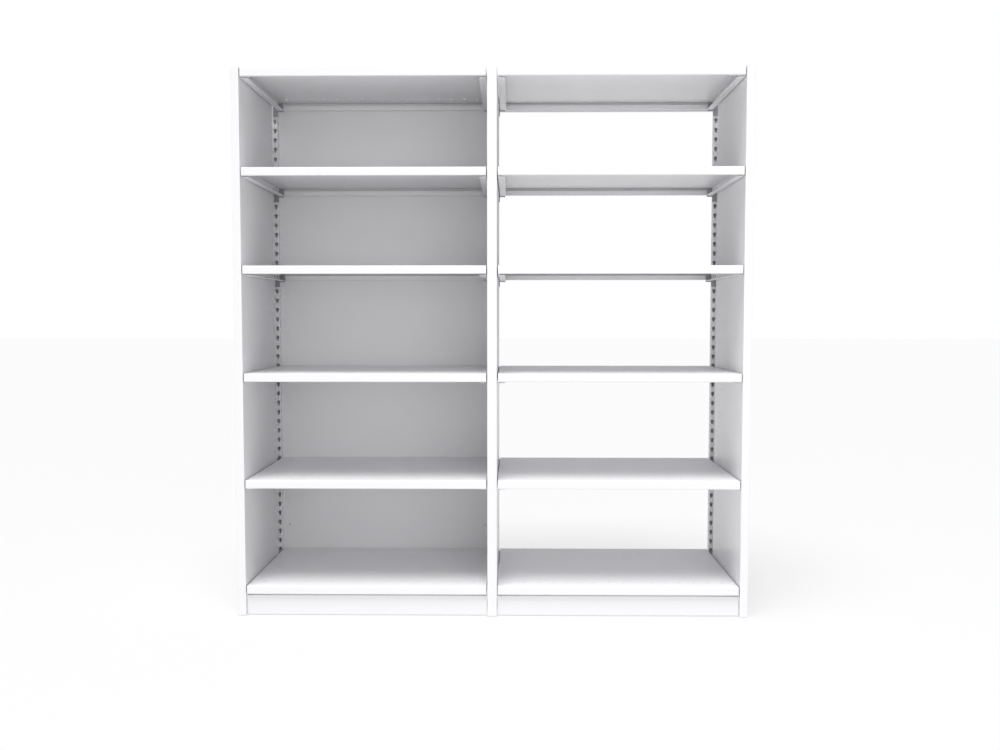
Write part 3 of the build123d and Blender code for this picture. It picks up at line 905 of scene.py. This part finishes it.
# %% Back panel screws
SCREW_RADIUS = 2.0 * MM
SCREW_TIP_ROUND = 0.5 * MM
SCREW_HEAD_HEIGHT = 1.6 * MM
SCREW_DOME = 1.1 * MM
CROSS_HALF_LENGTH = 2.2 * MM
CROSS_HALF_WIDTH = 0.45 * MM
CROSS_DEPTH = 0.9 * MM

screw_boxes = solids_in("back_panel_screws")
screw_low, screw_high = screw_boxes[0]
screw_head_radius = (screw_high.x - screw_low.x) / 2
screw_top = screw_high.y - screw_low.y
screw_length = screw_top - SCREW_HEAD_HEIGHT

screw = turned_start("screw_pattern", SCREW_RADIUS, screw_length)
round_rim(screw, 0.0, SCREW_RADIUS, SCREW_TIP_ROUND, segments=2)
dome = turned_start("screw_head", screw_head_radius, SCREW_HEAD_HEIGHT, bottom=screw_length)
round_rim(dome, screw_top, screw_head_radius, SCREW_DOME, segments=5)
cross_low, cross_high = screw_top - CROSS_DEPTH, screw_top + CROSS_DEPTH
for x, y in ((CROSS_HALF_LENGTH, CROSS_HALF_WIDTH), (CROSS_HALF_WIDTH, CROSS_HALF_LENGTH)):
    cut(dome, slab("cross_arm", (-x, -y, cross_low), (x, y, cross_high)))
screw = join_pieces([screw, dome])
screw_places = [
    ((low.x + high.x) / 2, high.y, (low.z + high.z) / 2) for low, high in screw_boxes
]
screws = set_of("back_panel_screw_set", screw, screw_places, turn=(math.pi / 2, 0.0, 0.0))
finish_piece(screws, zinc, "zinc_steel", "back_panel_screws")
print(len(screw_places), "back panel screws")

# %% [markdown]
# ## Post caps
# A moulded cap closes the top of each upright. Its rim is rounded and its middle is sunk a
# little. It stops short of the slotted wall, because the topmost studs pass behind that wall.

# %% Post caps
CAP_RIM = 2.5 * MM
CAP_SINK = 1.0 * MM
CAP_EDGE_ROUND = 0.35 * MM

cap_pieces = []
for low, high in solids_in("post_caps"):
    cap = slab("post_cap", low, high)
    in_edit_mode(cap)
    pick_faces(lambda middle, normal: normal.z > FACES_UP)
    bpy.ops.mesh.inset(thickness=CAP_RIM, depth=0.0)
    bpy.ops.mesh.extrude_region_move(TRANSFORM_OT_translate={"value": (0, 0, -CAP_SINK)})
    bpy.ops.object.mode_set(mode="OBJECT")
    cap_pieces.append(cap)
caps = join_pieces(cap_pieces)
caps.name = "post_cap_set"
rim_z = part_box("post_caps")[1].z
round_edges(
    caps,
    lambda a, b: abs(a.z - rim_z) < NEAR and abs(b.z - rim_z) < NEAR,
    CAP_EDGE_ROUND,
)
finish_piece(caps, cap_plastic, "cap_plastic", "post_caps")
print(len(cap_pieces), "caps")

# %% [markdown]
# ## The floor
# The floor is a plain, pale studio floor that is lit a little from within, like a white cove,
# so the unit's shadow stays light. It isn't part of the object.

# %% Lay the floor
FLOOR_HALF = 45.0
FLOOR_GREY = 0.32
FLOOR_ROUGHNESS = 0.9
FLOOR_GLOW = 0.54

start_clean()
bpy.ops.mesh.primitive_plane_add(size=2 * FLOOR_HALF, location=(0, 0, 0))
floor = bpy.context.object
floor.name = "studio_floor"
floor_paint = bpy.data.materials.new("studio_floor")
floor_paint.use_nodes = True
paint = floor_paint.node_tree.nodes["Principled BSDF"]
paint.inputs["Base Color"].default_value = (FLOOR_GREY, FLOOR_GREY, FLOOR_GREY, 1.0)
paint.inputs["Roughness"].default_value = FLOOR_ROUGHNESS
paint.inputs["Specular IOR Level"].default_value = 0.0
paint.inputs["Emission Color"].default_value = (1.0, 1.0, 1.0, 1.0)
paint.inputs["Emission Strength"].default_value = FLOOR_GLOW
floor.data.materials.append(floor_paint)
